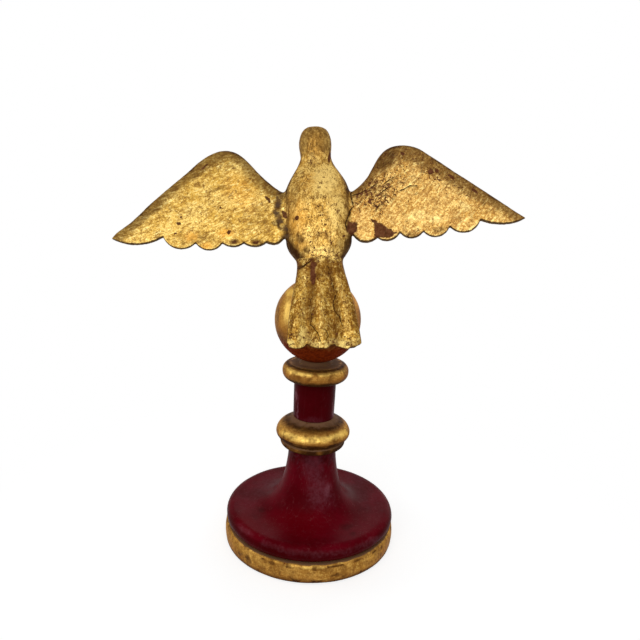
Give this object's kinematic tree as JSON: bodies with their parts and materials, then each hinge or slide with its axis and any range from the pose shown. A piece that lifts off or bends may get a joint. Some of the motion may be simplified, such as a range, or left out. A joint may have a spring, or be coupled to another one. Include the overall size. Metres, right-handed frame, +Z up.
{
  "type": "wooden bird sculpture",
  "caption": "Carved gilt wooden bird with spread wings, perched on a gilt ball over a turned red and gold pedestal with a round flared foot.",
  "frame": {"origin": "centre of the felt underside of the round base, where the sculpture stands", "axes": "+Z up along the turned stand's axis; the bird turns its back and tail to -Y and its breast to +Y; its wings spread along X"},
  "size_m": [0.3221, 0.1512, 0.3591],
  "materials": {
    "gilt_wood": "aged water gilding over red-brown bole on carved wood, satin where burnished, worn to the bole at edges and cracks",
    "gilt_turning": "burnished gilding on turned wood, warmer and smoother than the bird, with dark patina in the hollows",
    "red_lacquer": "deep burgundy paint under worn satin varnish",
    "felt": "dark green wool felt",
    "dowel_wood": "plain hardwood dowel",
    "iron": "dark drawn iron",
    "steel": "plain steel screw"
  },
  "bodies": {
    "root": {"base_felt": "felt", "base_disc": "gilt_turning", "base_screws": "steel", "flared_foot": "red_lacquer", "lower_collar": "gilt_turning", "stem": "red_lacquer", "upper_collar": "gilt_turning", "ball": "gilt_turning", "body": "gilt_wood", "tail": "gilt_wood", "tail_dowels": "dowel_wood", "leg_pins": "iron", "left_wing": "gilt_wood", "left_wing_dowels": "dowel_wood", "left_leg": "gilt_wood", "right_wing": "gilt_wood", "right_wing_dowels": "dowel_wood", "right_leg": "gilt_wood"}
  },
  "joints": []
}
